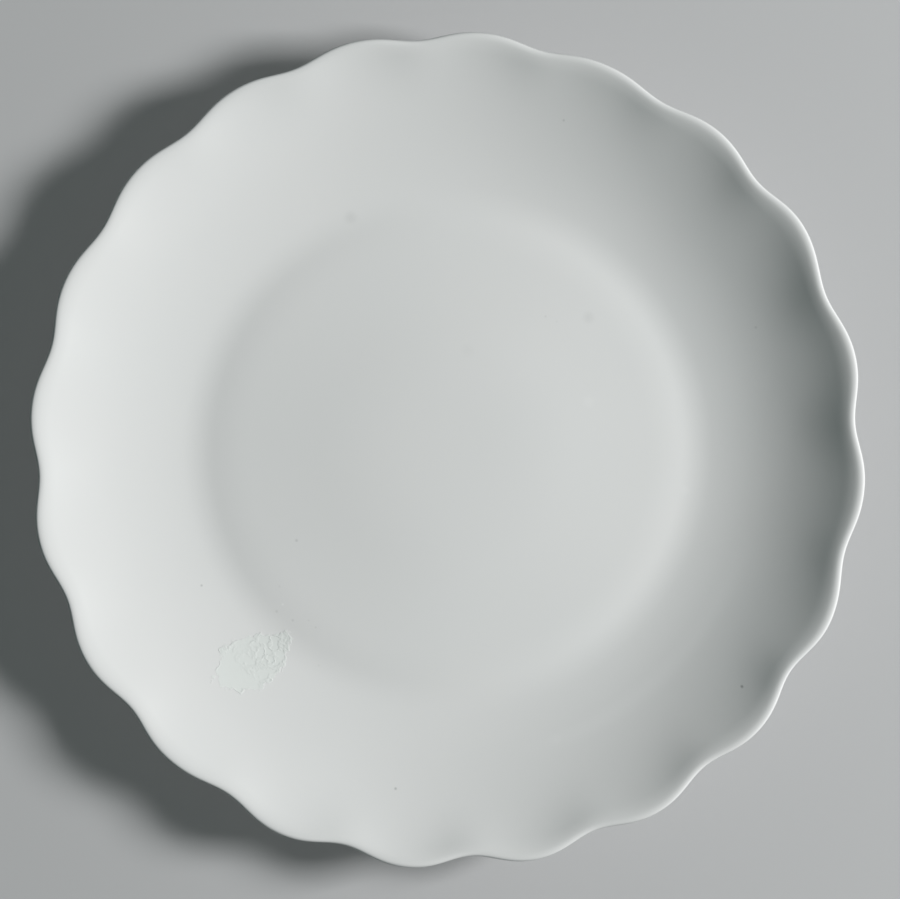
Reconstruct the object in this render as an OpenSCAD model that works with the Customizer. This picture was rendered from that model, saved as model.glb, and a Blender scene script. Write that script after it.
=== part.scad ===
// Scalloped dessert plate: a faintly crowned well, a curved wall, a fluted rim with a rolled edge, and a foot ring.
// The origin is on the table, on the plate's axis, and a scallop tip points along +X.

/* [Plate] */
// Diameter over the scallop tips
rim_d = 195; // [180:1:230]
// Height of the scallop tips above the table
plate_h = 20.5; // [18:0.5:24]

/* [Well] */
// Diameter of the floor
floor_d = 96; // [80:1:108]
// Diameter of the level middle of the floor
middle_d = 22; // [10:1:40]
// Steepest slope of the faint crown between the middle and the edge of the floor
crown_slope = 2.2; // [0:0.2:3]
// Thickness of the floor
floor_t = 3.6; // [2.8:0.1:4.4]
// Width of the shallow dip around the floor
dip_w = 7; // [4:0.5:9]
// Downward slope at the outer side of the dip
dip_slope = 3; // [0:0.5:5]
// Width of the knee that turns the floor up into the wall
knee_w = 7; // [5:0.5:12]
// Slope at the foot of the wall, where the knee ends
knee_slope = 11.5; // [6:0.5:18]

/* [Scallops] */
// Number of scallops
scallop_count = 20; // [12:1:30]
// How far the rim is drawn in between two tips
scallop_depth = 2.2; // [1:0.1:3.5]
// How far the rim sits lower between two tips
scallop_drop = 0.65; // [0:0.05:1]
// How much tighter the rim bends between two tips than at a tip, as a share of its wave
tight_share = 0.09; // [0:0.005:0.12]
// Length of the flutes that carry the scallops down the wall
flute_l = 18; // [12:0.5:20]
// How the flutes deepen towards the rim: 1 evenly, more than 1 mostly near the rim
flute_power = 1.6; // [1.2:0.1:3]

/* [Rim] */
// Thickness of the wall below the rim
rim_t = 3.2; // [2.8:0.1:4]
// Width of the shoulder, where the wall's slope first eases
shoulder_w = 1.9; // [1:0.1:3]
// Slope where the shoulder ends and the roll starts
roll_slope = 24; // [18:1:28]
// Width over which the inside then rolls level with the crest
roll_w = 1.1; // [0.8:0.1:2]
// Radius of the upper corner of the edge
edge_top_r = 0.7; // [0.5:0.1:0.9]
// Radius of the lower corner of the edge
edge_low_r = 1.2; // [0.6:0.1:1.4]

/* [Foot ring] */
// Outer diameter of the flat ring that stands on the table
foot_d = 108; // [96:1:112]
// Width of that flat ring
foot_w = 2.2; // [1.6:0.2:4]
// Height of the foot ring below the floor
foot_h = 1.6; // [1:0.1:2.5]
// Radius of the foot ring's two lower corners
foot_r = 0.6; // [0.3:0.1:0.8]
// Draft of the foot ring's flanks
foot_draft = 20; // [10:1:30]

/* [Hidden] */

// Steps along each arc of the crown and of the rest of the round part, then along the fluted wall, its underside,
// the shoulder, the roll and each rounded corner
crown_steps = 4;
arc_steps = 8;
wall_steps = 4;
under_steps = 3;
shoulder_steps = 2;
roll_steps = 3;
corner_steps = 3;
// Steps round the rim for one scallop, so that the whole rim has about the same number at any count
rim_steps = 240;
scallop_steps = 2 * floor(rim_steps / scallop_count / 2);
turn_steps = scallop_count * scallop_steps;
// How far the fluted rim stands proud of the round wall at their joint, and how far the wall runs on inside it,
// as a share of the rim's first step
joint_t = 0.03;
joint_share = 0.08;
// Share of the room at the edge's lower corner that its radius may take
room_share = 0.9;

// Radii from the axis, going outward, on a line through a scallop tip
middle_r = middle_d / 2;
floor_r = floor_d / 2;
crown_r = (middle_r + floor_r) / 2;
dip_r = floor_r + dip_w;
wall_r = dip_r + knee_w;
tip_r = rim_d / 2;
crest_r = tip_r - edge_top_r;
roll_r = crest_r - roll_w;
shoulder_r = roll_r - shoulder_w;
flute_r = tip_r - flute_l;
floor_z = foot_h + floor_t;

// Rise of an arc that runs out by w while its slope goes from a to b
function arc_rise(w, a, b) = w * tan((a + b) / 2);

// Height of the middle of the floor, above the floor's edge
middle_z = floor_z + arc_rise(floor_r - middle_r, 0, crown_slope);

// Slope at the top of the wall: wall, shoulder and roll are arcs, tangent where they meet, that climb from the
// knee to a level crest at the plate's height. The tangent of half that slope solves a quadratic equation.
knee_z = floor_z + arc_rise(dip_w, 0, -dip_slope) + arc_rise(knee_w, -dip_slope, knee_slope);
climb = plate_h - knee_z - arc_rise(roll_w, roll_slope, 0);
wall_w = shoulder_r - wall_r;
knee_tan = tan(knee_slope / 2);
roll_tan = tan(roll_slope / 2);
square_part = wall_w * roll_tan + shoulder_w * knee_tan + climb * knee_tan * roll_tan;
plain_part = (wall_w + shoulder_w) * (1 - knee_tan * roll_tan) + climb * (knee_tan + roll_tan);
fixed_part = climb - wall_w * knee_tan - shoulder_w * roll_tan;
root = sqrt(plain_part * plain_part - 4 * square_part * fixed_part);
rim_slope = 2 * atan(2 * fixed_part / (plain_part + root));

// The plate's inside is a chain of tangent arcs, given by the radius and the slope where they meet
stations = [
    [0, 0],
    [middle_r, 0],
    [crown_r, -crown_slope],
    [floor_r, 0],
    [dip_r, -dip_slope],
    [wall_r, knee_slope],
    [shoulder_r, rim_slope],
    [roll_r, roll_slope],
    [crest_r, 0]
];

// Number of the arc that holds radius r
function arc_at(r, i = 1) = i == len(stations) - 1 || r <= stations[i][0] ? i : arc_at(r, i + 1);

// Slope of the inside at radius r
function slope_at(r) =
    let (a = stations[arc_at(r) - 1], b = stations[arc_at(r)])
    asin(sin(a[1]) + (r - a[0]) / (b[0] - a[0]) * (sin(b[1]) - sin(a[1])));

// Height at which arc number i starts
function arc_z(i) =
    i == 1 ? middle_z
    : arc_z(i - 1) + arc_rise(stations[i - 1][0] - stations[i - 2][0], stations[i - 2][1], stations[i - 1][1]);

// Point of the inside at radius r
function inside(r) =
    let (i = arc_at(r), a = stations[i - 1])
    [r, arc_z(i) + arc_rise(r - a[0], a[1], slope_at(r))];

// Direction square to the inside at radius r, pointing into the material
function inward(r) = [sin(slope_at(r)), -cos(slope_at(r))];

// Thickness of the plate at radius r, from the floor's to the rim's
function thickness(r) = floor_t + (rim_t - floor_t) * max(0, r - dip_r) / (shoulder_r - dip_r);

// Point of the underside opposite the inside's point at radius r
function underside(r) = inside(r) + thickness(r) * inward(r);

// Point number i of n steps between two values
function step(a, b, i, n) = a + (b - a) * i / n;

// Wave of the rim: it swings by 1 between a tip and the place between two tips, and bends tighter there
function wave(turn) = (cos(scallop_count * turn) - tight_share * cos(2 * scallop_count * turn)) / 2;

// How much of the scallop reaches radius r, from nothing where the flutes start to all of it at the tip
function flute_share(r) = pow(min(1, max(0, (r - flute_r) / flute_l)), flute_power);

// Place in space of a profile point at an angle round the axis
function place(p, turn) =
    let (inset = flute_share(p[0]) * (wave(0) - wave(turn)), r = p[0] - scallop_depth * inset)
    [r * cos(turn), r * sin(turn), p[1] - scallop_drop * inset];

// Lower corner of the edge: where the edge's upright side meets the underside, and the radius it has room for
under_end = underside(shoulder_r);
corner_z = under_end[1] + (tip_r - under_end[0]) * tan(rim_slope);
corner_reach_share = tan((90 - rim_slope) / 2);
edge_room = (plate_h - edge_top_r - corner_z) / corner_reach_share;
low_r = min(edge_low_r, edge_room * room_share);
low_z = corner_z + low_r * corner_reach_share;

// Half outline of the round part: inside from the axis to the joint, then underside back to the axis
function round_outline() =
    let (
        next_top = step(flute_r, shoulder_r, 1, wall_steps),
        next_low = step(flute_r, shoulder_r, 1, under_steps)
    )
    concat(
        [[0, middle_z]],
        [for (i = [0 : crown_steps]) inside(step(middle_r, crown_r, i, crown_steps))],
        [for (i = [1 : crown_steps]) inside(step(crown_r, floor_r, i, crown_steps))],
        [for (i = [1 : arc_steps]) inside(step(floor_r, dip_r, i, arc_steps))],
        [for (i = [1 : arc_steps]) inside(step(dip_r, wall_r, i, arc_steps))],
        [for (i = [1 : arc_steps - 1]) inside(step(wall_r, flute_r, i, arc_steps))],
        [step(inside(flute_r), inside(next_top), joint_share, 1)],
        [step(underside(flute_r), underside(next_low), joint_share, 1)],
        [for (i = [arc_steps - 1 : -1 : 1]) underside(step(wall_r, flute_r, i, arc_steps))],
        [for (i = [arc_steps : -1 : 1]) underside(step(dip_r, wall_r, i, arc_steps))],
        [underside(dip_r), underside(floor_r), underside(crown_r), underside(middle_r)],
        [[0, middle_z - floor_t]]
    );

// Half outline of the foot ring, with its top buried in the floor
function foot_outline() =
    let (
        out_r = foot_d / 2,
        in_r = out_r - foot_w,
        turn_in = 90 - foot_draft,
        root_z = foot_h + floor_t / 2,
        flank_w = foot_r * sin(turn_in) + (root_z - foot_r * (1 - cos(turn_in))) * tan(foot_draft)
    )
    concat(
        [[in_r - flank_w, root_z]],
        [
            for (i = [corner_steps : -1 : 0])
                let (a = step(0, turn_in, i, corner_steps))
                [in_r - foot_r * sin(a), foot_r * (1 - cos(a))]
        ],
        [
            for (i = [0 : corner_steps])
                let (a = step(0, turn_in, i, corner_steps))
                [out_r + foot_r * sin(a), foot_r * (1 - cos(a))]
        ],
        [[out_r + flank_w, root_z]]
    );

// Outline of the fluted rim through a tip: up the inside, over the crest and the edge, and back underneath
function rim_outline() = concat(
    [inside(flute_r) - joint_t * inward(flute_r)],
    [for (i = [1 : wall_steps]) inside(step(flute_r, shoulder_r, i, wall_steps))],
    [for (i = [1 : shoulder_steps]) inside(step(shoulder_r, roll_r, i, shoulder_steps))],
    [for (i = [1 : roll_steps]) inside(step(roll_r, crest_r, i, roll_steps))],
    [
        for (i = [1 : corner_steps])
            let (a = step(0, 90, i, corner_steps))
            [crest_r + edge_top_r * sin(a), plate_h - edge_top_r * (1 - cos(a))]
    ],
    [
        for (i = [0 : corner_steps])
            let (a = step(0, 90 - rim_slope, i, corner_steps))
            [tip_r - low_r * (1 - cos(a)), low_z - low_r * sin(a)]
    ],
    [for (i = [under_steps : -1 : 1]) underside(step(flute_r, shoulder_r, i, under_steps))],
    [underside(flute_r) + joint_t * inward(flute_r)]
);

module round_part() {
    rotate_extrude($fn = rim_steps) {
        union() {
            polygon(round_outline());
            polygon(foot_outline());
        }
    }
}

module fluted_rim() {
    outline = rim_outline();
    n = len(outline);
    polyhedron(
        points = [
            for (i = [0 : turn_steps - 1])
                for (p = outline)
                    place(p, 360 * i / turn_steps)
        ],
        faces = [
            for (i = [0 : turn_steps - 1])
                for (j = [0 : n - 1])
                    for (half = [0, 1])
                        let (
                            here = i * n,
                            there = (i + 1) % turn_steps * n,
                            k = (j + 1) % n
                        )
                        half == 0 ? [here + j, there + j, there + k] : [here + j, there + k, here + k]
        ]
    );
}

module plate() {
    color("white") {
        union() {
            round_part();
            fluted_rim();
        }
    }
}

plate();
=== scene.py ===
"""Looks of a white scalloped dessert plate: pressed shape, glaze, bare foot, and a plain studio round it."""

import math

import bpy
import numpy as np
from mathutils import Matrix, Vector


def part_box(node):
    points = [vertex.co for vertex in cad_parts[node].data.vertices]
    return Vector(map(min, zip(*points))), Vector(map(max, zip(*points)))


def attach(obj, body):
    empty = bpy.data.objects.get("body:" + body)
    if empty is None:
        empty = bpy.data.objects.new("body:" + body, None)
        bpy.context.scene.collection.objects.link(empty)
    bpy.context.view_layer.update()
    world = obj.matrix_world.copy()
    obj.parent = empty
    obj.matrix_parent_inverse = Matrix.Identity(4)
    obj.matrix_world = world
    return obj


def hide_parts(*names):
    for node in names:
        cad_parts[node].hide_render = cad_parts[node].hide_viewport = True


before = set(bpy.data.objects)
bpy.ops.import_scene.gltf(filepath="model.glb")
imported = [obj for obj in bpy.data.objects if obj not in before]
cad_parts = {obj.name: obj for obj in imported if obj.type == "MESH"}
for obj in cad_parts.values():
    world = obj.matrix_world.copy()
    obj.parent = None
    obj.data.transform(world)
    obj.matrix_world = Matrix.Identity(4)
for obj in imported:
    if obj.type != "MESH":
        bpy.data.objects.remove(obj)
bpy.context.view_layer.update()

# Sizes that the frame gives
MM = 0.001
box_low, box_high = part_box("plate")
TIP_R = (box_high.x - box_low.x) / 2
TOP_Z = box_high.z

# Well, dip, knee and wall, from the axis outward
MIDDLE_R = 11 * MM
CROWN_SLOPE = math.radians(2.2)
FLOOR_R = 48 * MM
FLOOR_T = 3.6 * MM
DIP_W = 7.5 * MM
DIP_SLOPE = math.radians(3)
KNEE_W = 7 * MM
KNEE_SLOPE = math.radians(11.5)
# How far out on the wall its slope is given once more, and that slope
BEND_SHARE = 0.6
BEND_SLOPE = math.radians(25.6)

# Rim: its thickness, the shoulder and the roll up to the crest, then the edge's two corners
RIM_T = 3.2 * MM
SHOULDER_W = 2.8 * MM
ROLL_W = 1.1 * MM
ROLL_SLOPE = math.radians(26.3)
EDGE_TOP_R = 0.7 * MM
EDGE_LOW_R = 1.2 * MM

# Scallops
SCALLOPS = 20
SCALLOP_DEPTH = 2.2 * MM
SCALLOP_DROP = 0.65 * MM
TIGHT_SHARE = 0.09
FLUTE_L = 18 * MM
FLUTE_POWER = 1.6

# Foot ring
FOOT_R = 54 * MM
FOOT_W = 2.2 * MM
FOOT_H = 1.6 * MM
FOOT_CORNER_R = 0.6 * MM
FOOT_ROOT_R = 0.8 * MM
FOOT_DRAFT = math.radians(20)

# Where the photograph shows the plate, in its own pixels, how far it is turned there, and how high above its
# crest the camera is
PHOTO_SIZE = (900, 899)
PHOTO_CENTRE = (447.3, 450.3)
PHOTO_TIP_R = 419.4
PHOTO_TURN = math.radians(-5.37)
PIXEL = TIP_R / PHOTO_TIP_R
PIXEL_MIDDLE = 0.5
CAMERA_H = 0.9

# Mesh density: steps round the rim, and distances between rings
RIM_STEPS = 480
FEWEST_STEPS = 30
FULL_STEPS_R = 50 * MM
FLOOR_PITCH = 3 * MM
CURVE_PITCH = 1 * MM
WALL_PITCH = 1.5 * MM
SHOULDER_PITCH = 0.4 * MM
ROLL_PITCH = 0.15 * MM
UNDER_PITCH = 2 * MM
CORNER_STEPS = 8

# Radii and heights worked out from the sizes
CROWN_R = (MIDDLE_R + FLOOR_R) / 2
DIP_R = FLOOR_R + DIP_W
WALL_R = DIP_R + KNEE_W
CREST_R = TIP_R - EDGE_TOP_R
ROLL_R = CREST_R - ROLL_W
SHOULDER_R = ROLL_R - SHOULDER_W
BEND_R = WALL_R + BEND_SHARE * (SHOULDER_R - WALL_R)
FLUTE_R = TIP_R - FLUTE_L
FLOOR_Z = FOOT_H + FLOOR_T
MIDDLE_Z = FLOOR_Z + (FLOOR_R - MIDDLE_R) * math.tan(CROWN_SLOPE / 2)


# Profile of the plate

# Half the width over which one arc of the inside flows into the next, and the samples that this takes
BLEND_W = 0.8 * MM
BLEND_SAMPLES = 15
# Between which slopes the top of the wall is looked for, and how often that range is halved
RIM_SLOPES = (math.radians(10), math.radians(60))
RIM_HALVINGS = 40
# Where the inside's slope is given, and the radii at which the profile is worked out
STATIONS = np.array([0, MIDDLE_R, CROWN_R, FLOOR_R, DIP_R, WALL_R, BEND_R, SHOULDER_R, ROLL_R, CREST_R])
FINE_STEPS = 2400
FINE_R = np.linspace(0, CREST_R, FINE_STEPS)


def slope_sines(rim_slope):
    """Sine of the inside's slope along FINE_R: straight runs between stations, blended where they meet."""
    sines = np.sin([0, 0, -CROWN_SLOPE, 0, -DIP_SLOPE, KNEE_SLOPE, BEND_SLOPE, rim_slope, ROLL_SLOPE, 0])
    width = np.minimum(BLEND_W, CREST_R - FINE_R)
    shares = np.linspace(-1, 1, BLEND_SAMPLES)
    return np.mean([np.interp(abs(FINE_R + share * width), STATIONS, sines) for share in shares], axis=0)


def inside_heights(rim_slope):
    """Height of the inside along FINE_R, from the middle of the floor out to the crest."""
    sines = slope_sines(rim_slope)
    tangents = sines / np.sqrt(1 - sines**2)
    steps = (tangents[1:] + tangents[:-1]) / 2 * np.diff(FINE_R)
    return MIDDLE_Z + np.concatenate([[0], np.cumsum(steps)])


def find_rim_slope():
    """The slope at the top of the wall for which the crest ends at the plate's height."""
    low, high = RIM_SLOPES
    for _ in range(RIM_HALVINGS):
        middle = (low + high) / 2
        if inside_heights(middle)[-1] < TOP_Z:
            low = middle
        else:
            high = middle
    return (low + high) / 2


RIM_SLOPE = find_rim_slope()
FINE_Z = inside_heights(RIM_SLOPE)
FINE_SLOPE = np.arcsin(slope_sines(RIM_SLOPE))


def inside(r):
    """Point of the inside at radius r."""
    return np.array([r, np.interp(r, FINE_R, FINE_Z)])


def underside(r):
    """Point of the underside, square to the inside at radius r."""
    slope = np.interp(r, FINE_R, FINE_SLOPE)
    thickness = np.interp(r, [DIP_R, SHOULDER_R], [FLOOR_T, RIM_T])
    return inside(r) + thickness * np.array([math.sin(slope), -math.cos(slope)])


def spaced(start, end, pitch):
    """Evenly spaced values from start to end, start left out, about pitch apart."""
    count = max(1, round(abs(end - start) / pitch))
    return np.linspace(start, end, count + 1)[1:]


def rounded(corners, radii):
    """A path through corners whose inner corners are arcs of the given radii. Both ends are left out."""
    path = []
    for before, corner, after, radius in zip(corners, corners[1:], corners[2:], radii):
        back = (before - corner) / np.linalg.norm(before - corner)
        ahead = (after - corner) / np.linalg.norm(after - corner)
        half_angle = math.acos(np.clip(back @ ahead, -1, 1)) / 2
        bisector = (back + ahead) / np.linalg.norm(back + ahead)
        centre = corner + bisector * radius / math.sin(half_angle)
        first = corner + back * radius / math.tan(half_angle) - centre
        last = corner + ahead * radius / math.tan(half_angle) - centre
        turn = math.pi - 2 * half_angle
        for share in np.linspace(0, 1, CORNER_STEPS + 1):
            mixed = math.sin((1 - share) * turn) * first + math.sin(share * turn) * last
            path.append(centre + mixed / math.sin(turn))
    return path


def edge_path():
    """Over the edge: from the crest round the upper and the lower corner."""
    under_end = underside(SHOULDER_R)
    low_corner = np.array([TIP_R, under_end[1] + (TIP_R - under_end[0]) * math.tan(RIM_SLOPE)])
    corners = [np.array([CREST_R - EDGE_TOP_R, TOP_Z]), np.array([TIP_R, TOP_Z]), low_corner, under_end]
    return rounded(corners, [EDGE_TOP_R, EDGE_LOW_R])


def foot_path(outer_end):
    """Down the foot ring's outer flank, across its flat, and up the inner flank to the floor's underside."""
    flank = FOOT_CORNER_R / math.tan(math.pi / 4 + FOOT_DRAFT / 2)
    rise = math.tan(FOOT_DRAFT)
    out_low = np.array([FOOT_R + flank, 0.0])
    in_low = np.array([FOOT_R - FOOT_W - flank, 0.0])
    out_root = out_low + np.array([rise * outer_end[1], outer_end[1]])
    in_root = in_low + np.array([-rise * FOOT_H, FOOT_H])
    inner_end = np.array([in_root[0] - FLOOR_PITCH, FOOT_H])
    corners = [outer_end, out_root, out_low, in_low, in_root, inner_end]
    return rounded(corners, [FOOT_ROOT_R, FOOT_CORNER_R, FOOT_CORNER_R, FOOT_ROOT_R])


def plate_profile():
    """Points (radius, height) from just off the axis on the inside, over the rim, to just off it below."""
    inside_r = np.concatenate([
        spaced(0, FLOOR_R - FLOOR_PITCH, FLOOR_PITCH),
        spaced(FLOOR_R - FLOOR_PITCH, WALL_R, CURVE_PITCH),
        spaced(WALL_R, SHOULDER_R - BLEND_W, WALL_PITCH),
        spaced(SHOULDER_R - BLEND_W, ROLL_R, SHOULDER_PITCH),
        spaced(ROLL_R, CREST_R, ROLL_PITCH),
    ])
    foot_end = underside(DIP_R + CURVE_PITCH)
    foot = foot_path(foot_end)
    under_r = np.concatenate([[SHOULDER_R], spaced(SHOULDER_R, DIP_R + CURVE_PITCH, UNDER_PITCH)])
    floor_r = spaced(foot[-1][0], FLOOR_PITCH, FLOOR_PITCH)
    return [
        *[inside(r) for r in inside_r],
        *edge_path()[1:],
        *[underside(r) for r in under_r],
        *foot,
        *[underside(r) for r in floor_r],
    ]


# Scallops and the mesh

# The rim's waves grow a little towards the bottom of the photograph
UNEVEN_SHARE = 0.16
UNEVEN_TURN = math.radians(289) - PHOTO_TURN
# Places where the rim stands a little in or out: their angle in the photograph in degrees, and how far out
DENTS = {
    35.0: 0.65 * MM, 57.2: -0.25 * MM, 66.5: -0.52 * MM, 230.0: -0.58 * MM,
    274.8: -0.35 * MM, 333.3: 0.30 * MM, 345.8: 0.50 * MM,
}
DENT_HALF = math.radians(9)
# The scallops sit a little off their even places: waves round the rim, reach, and angle in the photograph
SWINGS = [(1, math.radians(0.62), math.radians(58)), (2, math.radians(0.31), math.radians(114))]
# Soft unevenness of the pressed surface: the height, range of lengths and number of its waves, the seed that
# places them, and where they fade out at the rim
SWAY_H = 0.012 * MM
SWAY_LENGTHS = (20 * MM, 55 * MM)
SWAY_WAVES = 7
SWAY_SEED = 20
SWAY_END_R = (80 * MM, 92 * MM)


def wave(turn):
    """Swings by 1 between a scallop's tip and the place between two tips, and bends tighter there."""
    return (np.cos(SCALLOPS * turn) - TIGHT_SHARE * np.cos(2 * SCALLOPS * turn)) / 2


def swing(turn):
    """How far round the rim the scallops sit off their even places."""
    return sum(reach * np.cos(waves * (turn + PHOTO_TURN) - angle) for waves, reach, angle in SWINGS)


def flute_share(r):
    """How much of the scallop reaches radius r: none where the flutes start, all of it at the tip."""
    return np.clip((r - FLUTE_R) / FLUTE_L, 0, 1) ** FLUTE_POWER


def dent(turn):
    """How far the rim stands out of its even outline."""
    total = np.zeros(len(turn))
    for angle, reach in DENTS.items():
        away = (turn - math.radians(angle) + PHOTO_TURN + math.pi) % (2 * math.pi) - math.pi
        total += reach * np.cos(np.clip(away / DENT_HALF, -1, 1) * math.pi / 2) ** 2
    return total


def place_ring(point, steps):
    """The ring that a profile point makes round the axis, as x, y, z rows."""
    turn = np.arange(steps) * 2 * math.pi / steps
    uneven = 1 + UNEVEN_SHARE * np.cos(turn - UNEVEN_TURN)
    inset = flute_share(point[0]) * (wave(0) - wave(turn - swing(turn))) * uneven
    r = point[0] - SCALLOP_DEPTH * inset + flute_share(point[0]) * dent(turn)
    z = point[1] - SCALLOP_DROP * inset
    return np.stack([r * np.cos(turn), r * np.sin(turn), z], axis=1)


def sway(points):
    """Height of the surface's soft unevenness at the points."""
    random = np.random.default_rng(SWAY_SEED)
    total = np.zeros(len(points))
    for _ in range(SWAY_WAVES):
        direction = random.uniform(0, 2 * math.pi)
        length = random.uniform(*SWAY_LENGTHS)
        phase = random.uniform(0, 2 * math.pi)
        along = points[:, 0] * math.cos(direction) + points[:, 1] * math.sin(direction)
        total += SWAY_H * np.sin(2 * math.pi * along / length + phase)
    r = np.hypot(points[:, 0], points[:, 1])
    return total * np.interp(r, SWAY_END_R, [1, 0])


def ring_steps(r):
    """Steps round a ring of radius r: all of them on wall and rim, halved again and again farther in."""
    halvings = max(0, math.ceil(math.log2(FULL_STEPS_R / r)))
    return max(FEWEST_STEPS, RIM_STEPS >> halvings)


def bridge(first, count, second, next_count):
    """Faces between the rings that start at vertices first and second. One may have twice as many steps."""
    faces = []
    for i in range(min(count, next_count)):
        j = (i + 1) % min(count, next_count)
        if count == next_count:
            faces.append((first + i, second + i, second + j, first + j))
        elif count < next_count:
            b = [second + 2 * i, second + 2 * i + 1, second + (2 * i + 2) % next_count]
            faces += [(first + i, b[0], b[1]), (first + i, b[1], first + j), (first + j, b[1], b[2])]
        else:
            a = [first + 2 * i, first + 2 * i + 1, first + (2 * i + 2) % count]
            faces += [(a[0], second + i, a[1]), (a[1], second + i, second + j), (a[1], second + j, a[2])]
    return faces


def add_object(name, data):
    """A new object, linked into the scene."""
    made = bpy.data.objects.new(name, data)
    bpy.context.collection.objects.link(made)
    return made


def build_plate():
    """The whole plate as one closed, smooth mesh."""
    profile = plate_profile()
    top_rings = next(i for i, point in enumerate(profile) if point[0] > SHOULDER_R)
    rings = [place_ring(point, ring_steps(point[0])) for point in profile]
    for ring in rings[:top_rings]:
        ring[:, 2] += sway(ring)
    starts = np.cumsum([1] + [len(ring) for ring in rings]).tolist()
    middle_top = np.array([[0, 0, MIDDLE_Z]])
    middle_top[:, 2] += sway(middle_top)
    middle_low = np.array([[0, 0, MIDDLE_Z - FLOOR_T]])
    vertices = np.concatenate([middle_top, *rings, middle_low])
    faces = []
    for i in range(len(rings[0])):
        faces.append((0, 1 + i, 1 + (i + 1) % len(rings[0])))
    for k in range(len(rings) - 1):
        faces += bridge(starts[k], len(rings[k]), starts[k + 1], len(rings[k + 1]))
    last, count = starts[len(rings) - 1], len(rings[-1])
    for i in range(count):
        faces.append((starts[-1], last + (i + 1) % count, last + i))
    mesh = bpy.data.meshes.new("plate_body")
    mesh.from_pydata(vertices.tolist(), [], faces)
    mesh.shade_smooth()
    return add_object("plate_body", mesh)


# Materials

class Graph:
    """Short ways to wire shader nodes. node returns the node, and the methods after wire return a socket."""

    def __init__(self, owner):
        owner.use_nodes = True
        self.tree = owner.node_tree
        self.tree.nodes.clear()

    def node(self, kind, inputs=None, **settings):
        made = self.tree.nodes.new(kind)
        for name, value in settings.items():
            setattr(made, name, value)
        for name, value in (inputs or {}).items():
            self.wire(value, made.inputs[name])
        return made

    def wire(self, value, socket):
        if isinstance(value, bpy.types.NodeSocket):
            self.tree.links.new(value, socket)
        else:
            socket.default_value = value

    def math(self, operation, *values):
        return self.node("ShaderNodeMath", dict(enumerate(values)), operation=operation).outputs[0]

    def fade(self, value, start, end, low=0.0, high=1.0):
        """low at start, high at end, and a smooth step between them."""
        inputs = {"Value": value, "From Min": start, "From Max": end, "To Min": low, "To Max": high}
        made = self.node("ShaderNodeMapRange", inputs, interpolation_type="SMOOTHSTEP")
        return made.outputs["Result"]

    def noise(self, name, place, size, detail=2):
        """Noise from 0 to 1 whose features are about size across. Its name picks its seed."""
        inputs = {"Vector": place, "Scale": 1 / size, "Detail": detail, "W": SEEDS[name]}
        return self.node("ShaderNodeTexNoise", inputs, noise_dimensions="4D").outputs["Fac"]

    def mix(self, share, first, second):
        """The second colour over the first, by share."""
        made = self.node("ShaderNodeMix", data_type="RGBA")
        # The sockets of a colour mix: 0 takes the share, 6 and 7 the colours, and output 2 gives the result
        self.wire(share, made.inputs[0])
        self.wire(first, made.inputs[6])
        self.wire(second, made.inputs[7])
        return made.outputs[2]

    def vector(self, operation, *values, output="Vector"):
        made = self.node("ShaderNodeVectorMath", dict(enumerate(values)), operation=operation)
        return made.outputs[output]

    def part(self, vector, axis):
        """One coordinate of a vector."""
        return self.node("ShaderNodeSeparateXYZ", {0: vector}).outputs[axis]


def from_photo(x, y, depth=0.0):
    """Place in the plate's frame of a point of the photograph, on the level depth below the crest."""
    scale = PIXEL * (CAMERA_H + depth) / CAMERA_H
    right, up = (x - PHOTO_CENTRE[0]) * scale, (PHOTO_CENTRE[1] - y) * scale
    cos, sin = math.cos(-PHOTO_TURN), math.sin(-PHOTO_TURN)
    return (right * cos - up * sin, right * sin + up * cos, 0.0)


def mark_place(x, y):
    """Place on the plate's inside of a mark whose middle is pixel x, y of the photograph."""
    r = math.dist((x, y), PHOTO_CENTRE) * PIXEL
    return from_photo(x + PIXEL_MIDDLE, y + PIXEL_MIDDLE, TOP_Z - inside(r)[1])


# Seeds of the noises by name, and the middle of a noise's range
SEEDS = {"drift": 1, "haze": 2, "bare": 3, "peel": 4, "ragged": 5, "wrinkled": 6, "curl": 7, "wrinkle": 8}
NOISE_MIDDLE = 0.5
# Glaze: two whites that drift into each other, its gloss, and its orange peel
GLAZE_COOL = (0.727, 0.736, 0.730, 1)
GLAZE_WARM = (0.742, 0.739, 0.731, 1)
GLAZE_IOR = 1.5
GLAZE_ROUGH = (0.18, 0.26)
DRIFT_SIZE = 38 * MM
HAZE_SIZE = 9 * MM
HAZE_RANGE = (0.3, 0.7)
PEEL_SIZE = 2.2 * MM
PEEL_H = 0.004 * MM
# The body that shows bare under the foot: its look, and the uneven line up to which it does
BARE_COLOUR = (0.70, 0.685, 0.64, 1)
BARE_ROUGH = 0.85
BARE_TOP_Z = 0.35 * MM
BARE_WAVE_SIZE = 4 * MM
BARE_WAVE_H = 0.3 * MM
BARE_BLEND_W = 0.05 * MM

# Marks show on the upper side alone: the upward parts of the normal between which they fade in
UPPER_FACING = (0.0, 0.2)
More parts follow.
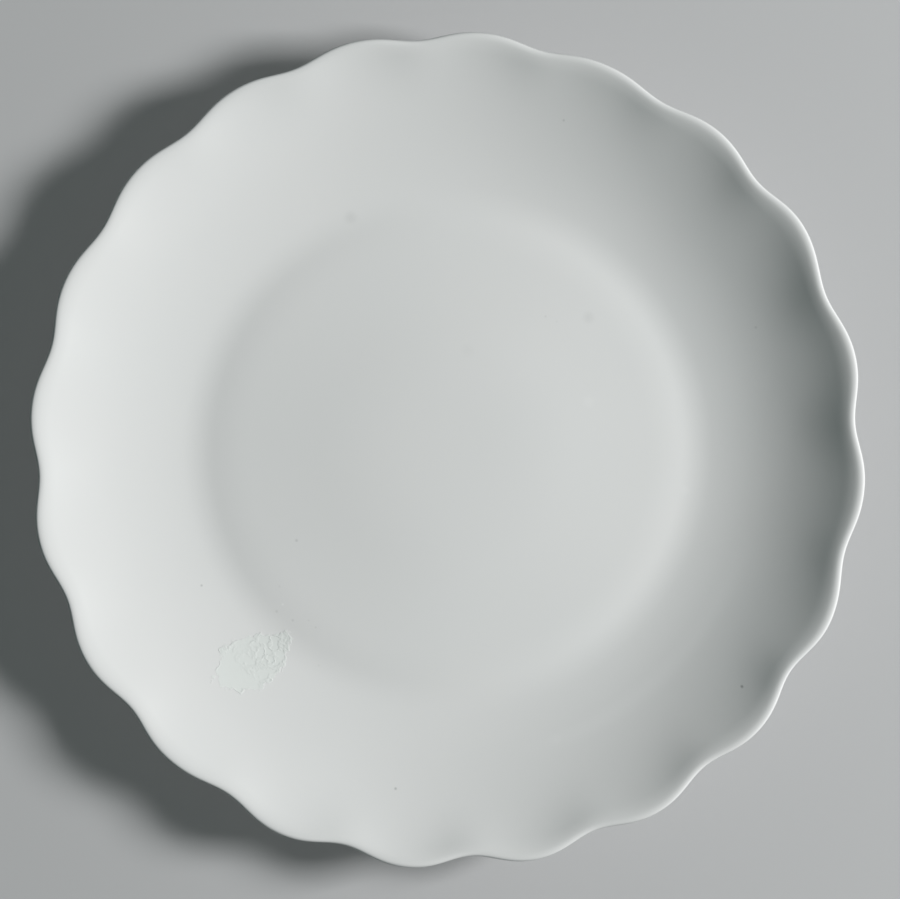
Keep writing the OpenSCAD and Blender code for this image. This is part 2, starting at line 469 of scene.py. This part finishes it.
# Small marks, by where the photograph shows them: x, y, radius in pixels, and how much they darken the
# glaze, or lighten it where that is below zero
PITS = [
    (741, 686, 2.4, 0.46), (395, 788, 2.2, 0.32), (201, 585, 2.0, 0.26), (296, 540, 2.5, 0.17),
    (563, 120, 2.0, 0.20), (755, 327, 2.1, 0.14), (545, 316, 2.0, 0.10), (556, 321, 1.6, 0.05),
    (276, 611, 2.4, 0.12), (282, 604, 1.8, -0.12), (292, 620, 2.2, 0.12), (308, 620, 1.8, 0.06),
    (315, 627, 1.9, 0.10), (279, 586, 2.4, 0.05), (318, 665, 2.0, 0.06),
]
# Smudges that darken the glaze and, where the last value is below zero, painted highlights: soft glints
# lightened into its colour
SMUDGES_AND_HIGHLIGHTS = [
    (350, 217, 9.5, 0.078), (588, 317, 9.0, 0.068), (467, 350, 10.0, 0.026),
    (685, 490, 7.0, -0.022), (588, 401, 9.0, -0.028), (555, 738, 8.0, -0.018),
]
# A faint light arc on the wall, a painted highlight: its radius, half width, middle and half length, and how
# much it lightens the colour
ARC_R = 73.2 * MM
ARC_W = 3.2 * MM
ARC_TURN = math.radians(-46) - PHOTO_TURN
ARC_HALF = math.radians(34)
ARC_HIGHLIGHT_SHARE = 0.03
# Dried residue: its middle and turn in the photograph, its half length and width, its tint, gloss and height
RESIDUE_AT = (251, 661)
RESIDUE_TURN = math.radians(31)
RESIDUE_HALF = (9.8 * MM, 6.3 * MM)
RESIDUE_COLOUR = (0.74, 0.78, 0.748, 1)
RESIDUE_SHARE = 0.55
RESIDUE_ROUGH = 0.12
RESIDUE_H = 0.020 * MM
# Its outline: the ellipse's own radius made ragged by noise, and where on that scale the skin ends
RAGGED_SIZE = 3 * MM
RAGGED_SHARE = 1.1
RESIDUE_OUT = 1.56
RESIDUE_EDGE = 1.5
# Its edge, curled up here and there, and its wrinkles, which lie towards one end
CURL_SIZE = 3.5 * MM
CURL_W = 0.08
CURL_RANGE = (0.42, 0.55)
WRINKLE_SIZE = 2.2 * MM
WRINKLE_W = 0.09
WRINKLED_SIZE = 4 * MM
WRINKLED_SHARE = 1.6
WRINKLED_RANGE = (0.5, 1.0)
# Tint and height of the curls and wrinkles, and depth of the strongest pit
RIDGE_SHARE = 0.11
RIDGE_COLOUR = (0.53, 0.55, 0.53, 1)
RIDGE_H = 0.055 * MM
PIT_H = 0.030 * MM
STRONGEST_PIT = max(strength for _, _, _, strength in PITS)


def spots(graph, place, marks):
    """Sum of soft round marks, each as strong as its last value says."""
    total = 0.0
    for x, y, radius, strength in marks:
        away = graph.vector("DISTANCE", place, mark_place(x, y), output="Value")
        total = graph.math("ADD", total, graph.fade(away, radius * PIXEL, 0.0, 0.0, strength))
    return total


def arc(graph, place):
    """The painted highlight arc on the wall, from 0 to 1."""
    off = graph.math("SUBTRACT", graph.vector("LENGTH", place, output="Value"), ARC_R)
    across = graph.fade(graph.math("ABSOLUTE", off), ARC_W, 0.0)
    middle = (math.cos(ARC_TURN), math.sin(ARC_TURN), 0)
    towards = graph.vector("DOT_PRODUCT", graph.vector("NORMALIZE", place), middle, output="Value")
    return graph.math("MULTIPLY", across, graph.fade(towards, math.cos(ARC_HALF), 1.0))


def residue(graph, place):
    """The dried patch, from 0 to 1: where it lies, and where its skin wrinkles or curls up at the edge."""
    own_place = graph.node("ShaderNodeMapping", {
        "Vector": place,
        "Location": mark_place(*RESIDUE_AT),
        "Rotation": (0, 0, RESIDUE_TURN - PHOTO_TURN),
        "Scale": (*RESIDUE_HALF, 1),
    }, vector_type="TEXTURE").outputs[0]
    reach = graph.vector("LENGTH", own_place, output="Value")
    ragged = graph.noise("ragged", place, RAGGED_SIZE, detail=3)
    ragged = graph.math("MULTIPLY_ADD", ragged, RAGGED_SHARE, reach)
    lies = graph.fade(ragged, RESIDUE_OUT, RESIDUE_EDGE)
    curl = graph.fade(graph.math("ABSOLUTE", graph.math("SUBTRACT", ragged, RESIDUE_EDGE)), CURL_W, 0.0)
    curled = graph.fade(graph.noise("curl", place, CURL_SIZE, detail=1), *CURL_RANGE)
    curl = graph.math("MULTIPLY", curl, curled)
    off_middle = graph.math("SUBTRACT", graph.noise("wrinkle", place, WRINKLE_SIZE), NOISE_MIDDLE)
    wrinkle = graph.fade(graph.math("ABSOLUTE", off_middle), WRINKLE_W, 0.0)
    wrinkled = graph.noise("wrinkled", place, WRINKLED_SIZE, detail=1)
    wrinkled = graph.math("MULTIPLY_ADD", wrinkled, WRINKLED_SHARE, graph.part(own_place, "X"))
    wrinkled = graph.math("MULTIPLY", lies, graph.fade(wrinkled, *WRINKLED_RANGE))
    wrinkle = graph.math("MULTIPLY", wrinkle, wrinkled)
    return lies, graph.math("MAXIMUM", wrinkle, curl)


def glaze_material():
    """White glaze with a faint drift of tint and gloss, small marks, painted highlights and a dried patch,
    and a bare foot.
    """
    material = bpy.data.materials.new("glaze")
    graph = Graph(material)
    coordinates = graph.node("ShaderNodeTexCoord").outputs
    place = coordinates["Object"]
    flat = graph.vector("MULTIPLY", place, (1.0, 1.0, 0.0))
    upper = graph.fade(graph.part(coordinates["Normal"], "Z"), *UPPER_FACING)

    tint = graph.mix(graph.noise("drift", place, DRIFT_SIZE), GLAZE_COOL, GLAZE_WARM)
    lies, ridges = residue(graph, flat)
    lies = graph.math("MULTIPLY", lies, upper)
    ridges = graph.math("MULTIPLY", ridges, upper)
    tint = graph.mix(graph.math("MULTIPLY", lies, RESIDUE_SHARE), tint, RESIDUE_COLOUR)
    tint = graph.mix(graph.math("MULTIPLY", ridges, RIDGE_SHARE), tint, RIDGE_COLOUR)
    pits = graph.math("MULTIPLY", spots(graph, flat, PITS), upper)
    # Dark smudges, and painted highlights where they lighten the glaze
    smudges_and_highlights = graph.math("MULTIPLY", spots(graph, flat, SMUDGES_AND_HIGHLIGHTS), upper)
    marks = graph.math("ADD", pits, smudges_and_highlights)
    # The arc is a painted highlight that lightens the glaze's colour
    light = graph.math("MULTIPLY", graph.math("MULTIPLY", arc(graph, flat), upper), ARC_HIGHLIGHT_SHARE)
    kept = graph.math("ADD", graph.math("SUBTRACT", 1.0, marks), light)
    tint = graph.node("ShaderNodeVectorMath", {0: tint, "Scale": kept}, operation="SCALE").outputs["Vector"]

    line = graph.math("MULTIPLY_ADD", graph.noise("bare", place, BARE_WAVE_SIZE), BARE_WAVE_H, BARE_TOP_Z)
    bare = graph.fade(graph.math("SUBTRACT", graph.part(place, "Z"), line), BARE_BLEND_W, -BARE_BLEND_W)
    colour = graph.mix(bare, tint, BARE_COLOUR)

    haze = graph.noise("haze", place, HAZE_SIZE, detail=3)
    rough = graph.fade(haze, *HAZE_RANGE, *GLAZE_ROUGH)
    rough = graph.math("MULTIPLY_ADD", lies, RESIDUE_ROUGH, rough)
    rough = graph.math("MULTIPLY_ADD", bare, BARE_ROUGH - GLAZE_ROUGH[1], rough)

    peel = graph.noise("peel", place, PEEL_SIZE, detail=1)
    relief = graph.math("MULTIPLY", peel, PEEL_H)
    relief = graph.math("MULTIPLY_ADD", lies, RESIDUE_H, relief)
    relief = graph.math("MULTIPLY_ADD", ridges, RIDGE_H, relief)
    relief = graph.math("MULTIPLY_ADD", pits, -PIT_H / STRONGEST_PIT, relief)
    bump = graph.node("ShaderNodeBump", {"Height": relief, "Distance": 1.0, "Strength": 1.0})

    shader = graph.node("ShaderNodeBsdfPrincipled", {
        "Base Color": colour, "Roughness": rough, "IOR": GLAZE_IOR, "Normal": bump.outputs[0],
    })
    graph.node("ShaderNodeOutputMaterial", {"Surface": shader.outputs[0]})
    return material


# Studio

# Floor: its tint, the light that the camera alone sees it give off, half its length, and its gap to the foot
FLOOR_COLOUR = (0.48, 0.483, 0.487, 1)
FLOOR_ROUGH = 0.5
FLOOR_LIFT = (0.07, 0.07, 0.07, 1)
FLOOR_HALF = 3.0
FLOOR_GAP = 0.05 * MM
# Lamp: its direction and height, its distance, side and power
KEY_TURN = math.radians(4.5) - PHOTO_TURN
KEY_HEIGHT = math.radians(38)
KEY_DISTANCE = 1.3
KEY_SIZE = 0.35
KEY_POWER = 20.8
# Light from all round, and the backdrop
SHADE_COLOUR = (0.020, 0.044, 0.041, 1)
BACKDROP_COLOUR = (0.80, 0.81, 0.82, 1)
# The room that the gloss mirrors, and where its parts fade into each other: the low part and the top by
# their height, the two ends by how far to the side they reach
MIRROR_LOW = (0.50, 0.55, 0.55, 1)
MIRROR_LOW_FADE = (0.28, 0.50)
MIRROR_ENDS = (0.02, 0.02, 0.02, 1)
MIRROR_ENDS_FADE = (0.3, 0.8)
MIRROR_SIDES = (0.54, 0.54, 0.54, 1)
MIRROR_TOP = (0.60, 0.60, 0.60, 1)
MIRROR_TOP_FADE = (0.75, 0.97)
# Width of the camera's sensor in millimetres, as Blender takes it
SENSOR_W = 36.0


def add_floor():
    """A plain pale floor just under the foot, lifted for the camera alone, so that its shadow stays soft."""
    mesh = bpy.data.meshes.new("floor")
    corners = [(-1, -1), (1, -1), (1, 1), (-1, 1)]
    mesh.from_pydata([(x * FLOOR_HALF, y * FLOOR_HALF, -FLOOR_GAP) for x, y in corners], [], [(0, 1, 2, 3)])
    material = bpy.data.materials.new("floor")
    graph = Graph(material)
    shader = graph.node("ShaderNodeBsdfDiffuse", {"Color": FLOOR_COLOUR, "Roughness": FLOOR_ROUGH})
    seen = graph.node("ShaderNodeLightPath").outputs["Is Camera Ray"]
    lift = graph.node("ShaderNodeEmission", {"Color": FLOOR_LIFT, "Strength": seen})
    both = graph.node("ShaderNodeAddShader", {0: shader.outputs[0], 1: lift.outputs[0]})
    graph.node("ShaderNodeOutputMaterial", {"Surface": both.outputs[0]})
    mesh.materials.append(material)
    floor = add_object("floor", mesh)


def add_world():
    """Faint cool light from all round, a pale backdrop for the camera, and a room for the gloss to mirror.

    That room is pale low down, along its two sides and on top, and dark at the lamp's end and the other end.
    """
    world = bpy.data.worlds.new("studio")
    graph = Graph(world)
    path = graph.node("ShaderNodeLightPath").outputs
    seen = graph.math("MAXIMUM", path["Is Camera Ray"], path["Is Transmission Ray"])
    direction = graph.node("ShaderNodeTexCoord").outputs["Generated"]
    height = graph.part(direction, "Z")
    aside = (-math.sin(KEY_TURN), math.cos(KEY_TURN), 0)
    sideways = graph.math("ABSOLUTE", graph.vector("DOT_PRODUCT", direction, aside, output="Value"))
    mirrored = graph.mix(graph.fade(sideways, *MIRROR_ENDS_FADE), MIRROR_ENDS, MIRROR_SIDES)
    mirrored = graph.mix(graph.fade(height, *MIRROR_TOP_FADE), mirrored, MIRROR_TOP)
    mirrored = graph.mix(graph.fade(height, *MIRROR_LOW_FADE), MIRROR_LOW, mirrored)
    colour = graph.mix(path["Is Glossy Ray"], SHADE_COLOUR, mirrored)
    colour = graph.mix(seen, colour, BACKDROP_COLOUR)
    light = graph.node("ShaderNodeBackground", {"Color": colour, "Strength": 1.0})
    graph.node("ShaderNodeOutputWorld", {"Surface": light.outputs[0]})
    bpy.context.scene.world = world


def add_key():
    """One large soft lamp, low on the photograph's right."""
    lamp = bpy.data.lights.new("key", "AREA")
    lamp.shape = "SQUARE"
    lamp.size = KEY_SIZE
    lamp.energy = KEY_POWER
    key = add_object("key", lamp)
    level = KEY_DISTANCE * math.cos(KEY_HEIGHT)
    height = KEY_DISTANCE * math.sin(KEY_HEIGHT)
    key.location = (level * math.cos(KEY_TURN), level * math.sin(KEY_TURN), height)
    key.rotation_euler = key.location.to_track_quat("Z", "Y").to_euler()
    key.visible_glossy = False


def add_camera():
    """Straight above the plate, framed as the photograph is."""
    data = bpy.data.cameras.new("camera")
    data.sensor_width = SENSOR_W
    data.lens = SENSOR_W * CAMERA_H / (PHOTO_SIZE[0] * PIXEL)
    data.dof.use_dof = False
    camera = add_object("camera", data)
    x, y, _ = from_photo(PHOTO_SIZE[0] / 2, PHOTO_SIZE[1] / 2)
    camera.location = (x, y, TOP_Z + CAMERA_H)
    camera.rotation_euler = (0, 0, -PHOTO_TURN)
    bpy.context.scene.camera = camera


plate = build_plate()
plate.data.materials.append(glaze_material())
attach(plate, "root")
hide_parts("plate")
add_floor()
add_world()
add_key()
add_camera()
bpy.context.scene.view_settings.view_transform = "Standard"
